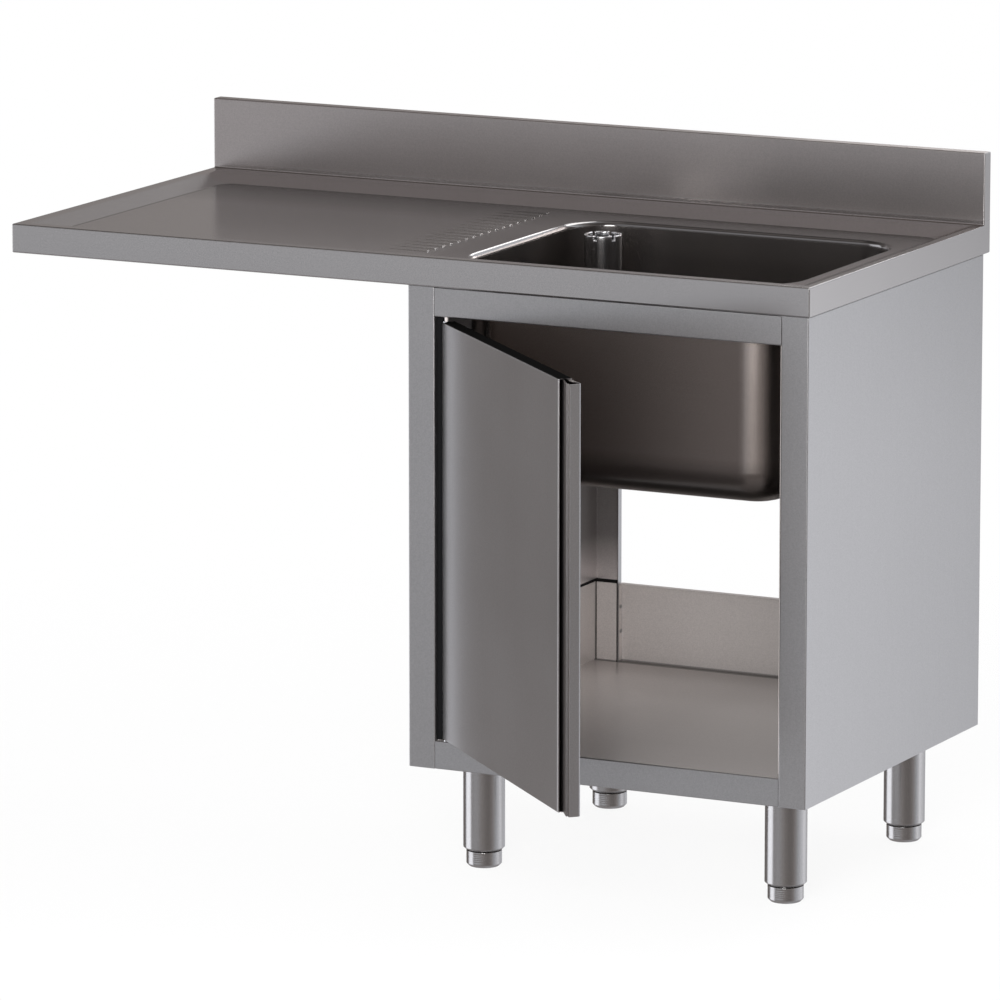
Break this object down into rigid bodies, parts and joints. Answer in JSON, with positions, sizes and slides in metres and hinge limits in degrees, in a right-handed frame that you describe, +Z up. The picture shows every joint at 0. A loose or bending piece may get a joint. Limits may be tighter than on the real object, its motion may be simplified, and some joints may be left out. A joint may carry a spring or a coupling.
{
  "type": "sink unit",
  "caption": "Stainless steel sink unit with a deep bowl, standpipe overflow, ribbed drainer over a free bay, rear upstand and an under-bowl cupboard with a hinged door on screw feet.",
  "frame": {"origin": "On the floor under the middle of the unit's box, with the door open as in the picture and the feet screwed in.", "axes": "+X runs along the worktop from the drainer to the bowl, +Y runs from the front to the upstand, +Z is up."},
  "size_m": [1.2, 0.9348, 0.95],
  "materials": {
    "worktop_steel": "satin rolled stainless steel",
    "bowl_steel": "drawn satin stainless steel",
    "panel_steel": "satin rolled stainless steel",
    "inner_steel": "satin rolled stainless steel",
    "door_steel": "satin rolled stainless steel",
    "leg_steel": "satin turned stainless steel",
    "bright_chrome": "polished",
    "black_rubber": "matt black rubber"
  },
  "bodies": {
    "cabinet": {"worktop": "worktop_steel", "sink_bowl": "bowl_steel", "front_stiffener": "inner_steel", "rear_stiffener": "inner_steel", "waste_flange": "bright_chrome", "waste_upper_gasket": "black_rubber", "waste_lower_gasket": "black_rubber", "waste_nut": "bright_chrome", "left_side_panel": "panel_steel", "right_side_panel": "panel_steel", "hinge_side_stop": "inner_steel", "catch_side_stop": "inner_steel", "catch_magnet": "black_rubber", "top_front_rail": "panel_steel", "top_rear_rail": "inner_steel", "bottom_shelf": "inner_steel", "back_panel": "inner_steel", "rivet_left_lower": "panel_steel", "rivet_left_upper": "panel_steel", "rivet_right_lower": "panel_steel", "rivet_right_upper": "panel_steel", "upper_hinge_bracket": "inner_steel", "lower_hinge_bracket": "inner_steel", "upper_hinge_pin": "panel_steel", "lower_hinge_pin": "panel_steel", "upper_bracket_screw_near": "panel_steel", "upper_bracket_screw_far": "panel_steel", "lower_bracket_screw_near": "panel_steel", "lower_bracket_screw_far": "panel_steel", "leg_plate_front_left": "inner_steel", "leg_plate_front_right": "inner_steel", "leg_plate_rear_left": "inner_steel", "leg_plate_rear_right": "inner_steel", "leg_tube_front_left": "leg_steel", "leg_tube_front_right": "leg_steel", "leg_tube_rear_left": "leg_steel", "leg_tube_rear_right": "leg_steel", "leg_insert_front_left": "inner_steel", "leg_insert_front_right": "inner_steel", "leg_insert_rear_left": "inner_steel", "leg_insert_rear_right": "inner_steel"},
    "door": {"door_outer_skin": "door_steel", "door_inner_skin": "door_steel", "door_handle_profile": "panel_steel", "catch_strike": "inner_steel", "upper_hinge_bush": "bright_chrome", "lower_hinge_bush": "bright_chrome"},
    "standpipe": {"standpipe": "bright_chrome", "standpipe_plug": "bright_chrome", "standpipe_seal": "black_rubber"},
    "foot_front_left": {"foot_front_left": "leg_steel"},
    "foot_front_right": {"foot_front_right": "leg_steel"},
    "foot_rear_left": {"foot_rear_left": "leg_steel"},
    "foot_rear_right": {"foot_rear_right": "leg_steel"}
  },
  "joints": [
    {"name": "door_hinge", "type": "hinge", "parent": "cabinet", "child": "door", "pos_m": [0.0644, -0.12477, 0.4768], "axis": [0, 0, -1], "range_deg": [-44, 66]},
    {"name": "standpipe_lift", "type": "slide", "parent": "cabinet", "child": "standpipe", "axis": [0, 0, 1], "range_m": [0, 0.31]},
    {"name": "foot_front_left_screw", "type": "slide", "parent": "cabinet", "child": "foot_front_left", "axis": [0, 0, -1], "range_m": [0, 0.025]},
    {"name": "foot_front_right_screw", "type": "slide", "parent": "cabinet", "child": "foot_front_right", "axis": [0, 0, -1], "range_m": [0, 0.025]},
    {"name": "foot_rear_left_screw", "type": "slide", "parent": "cabinet", "child": "foot_rear_left", "axis": [0, 0, -1], "range_m": [0, 0.025]},
    {"name": "foot_rear_right_screw", "type": "slide", "parent": "cabinet", "child": "foot_rear_right", "axis": [0, 0, -1], "range_m": [0, 0.025]}
  ]
}
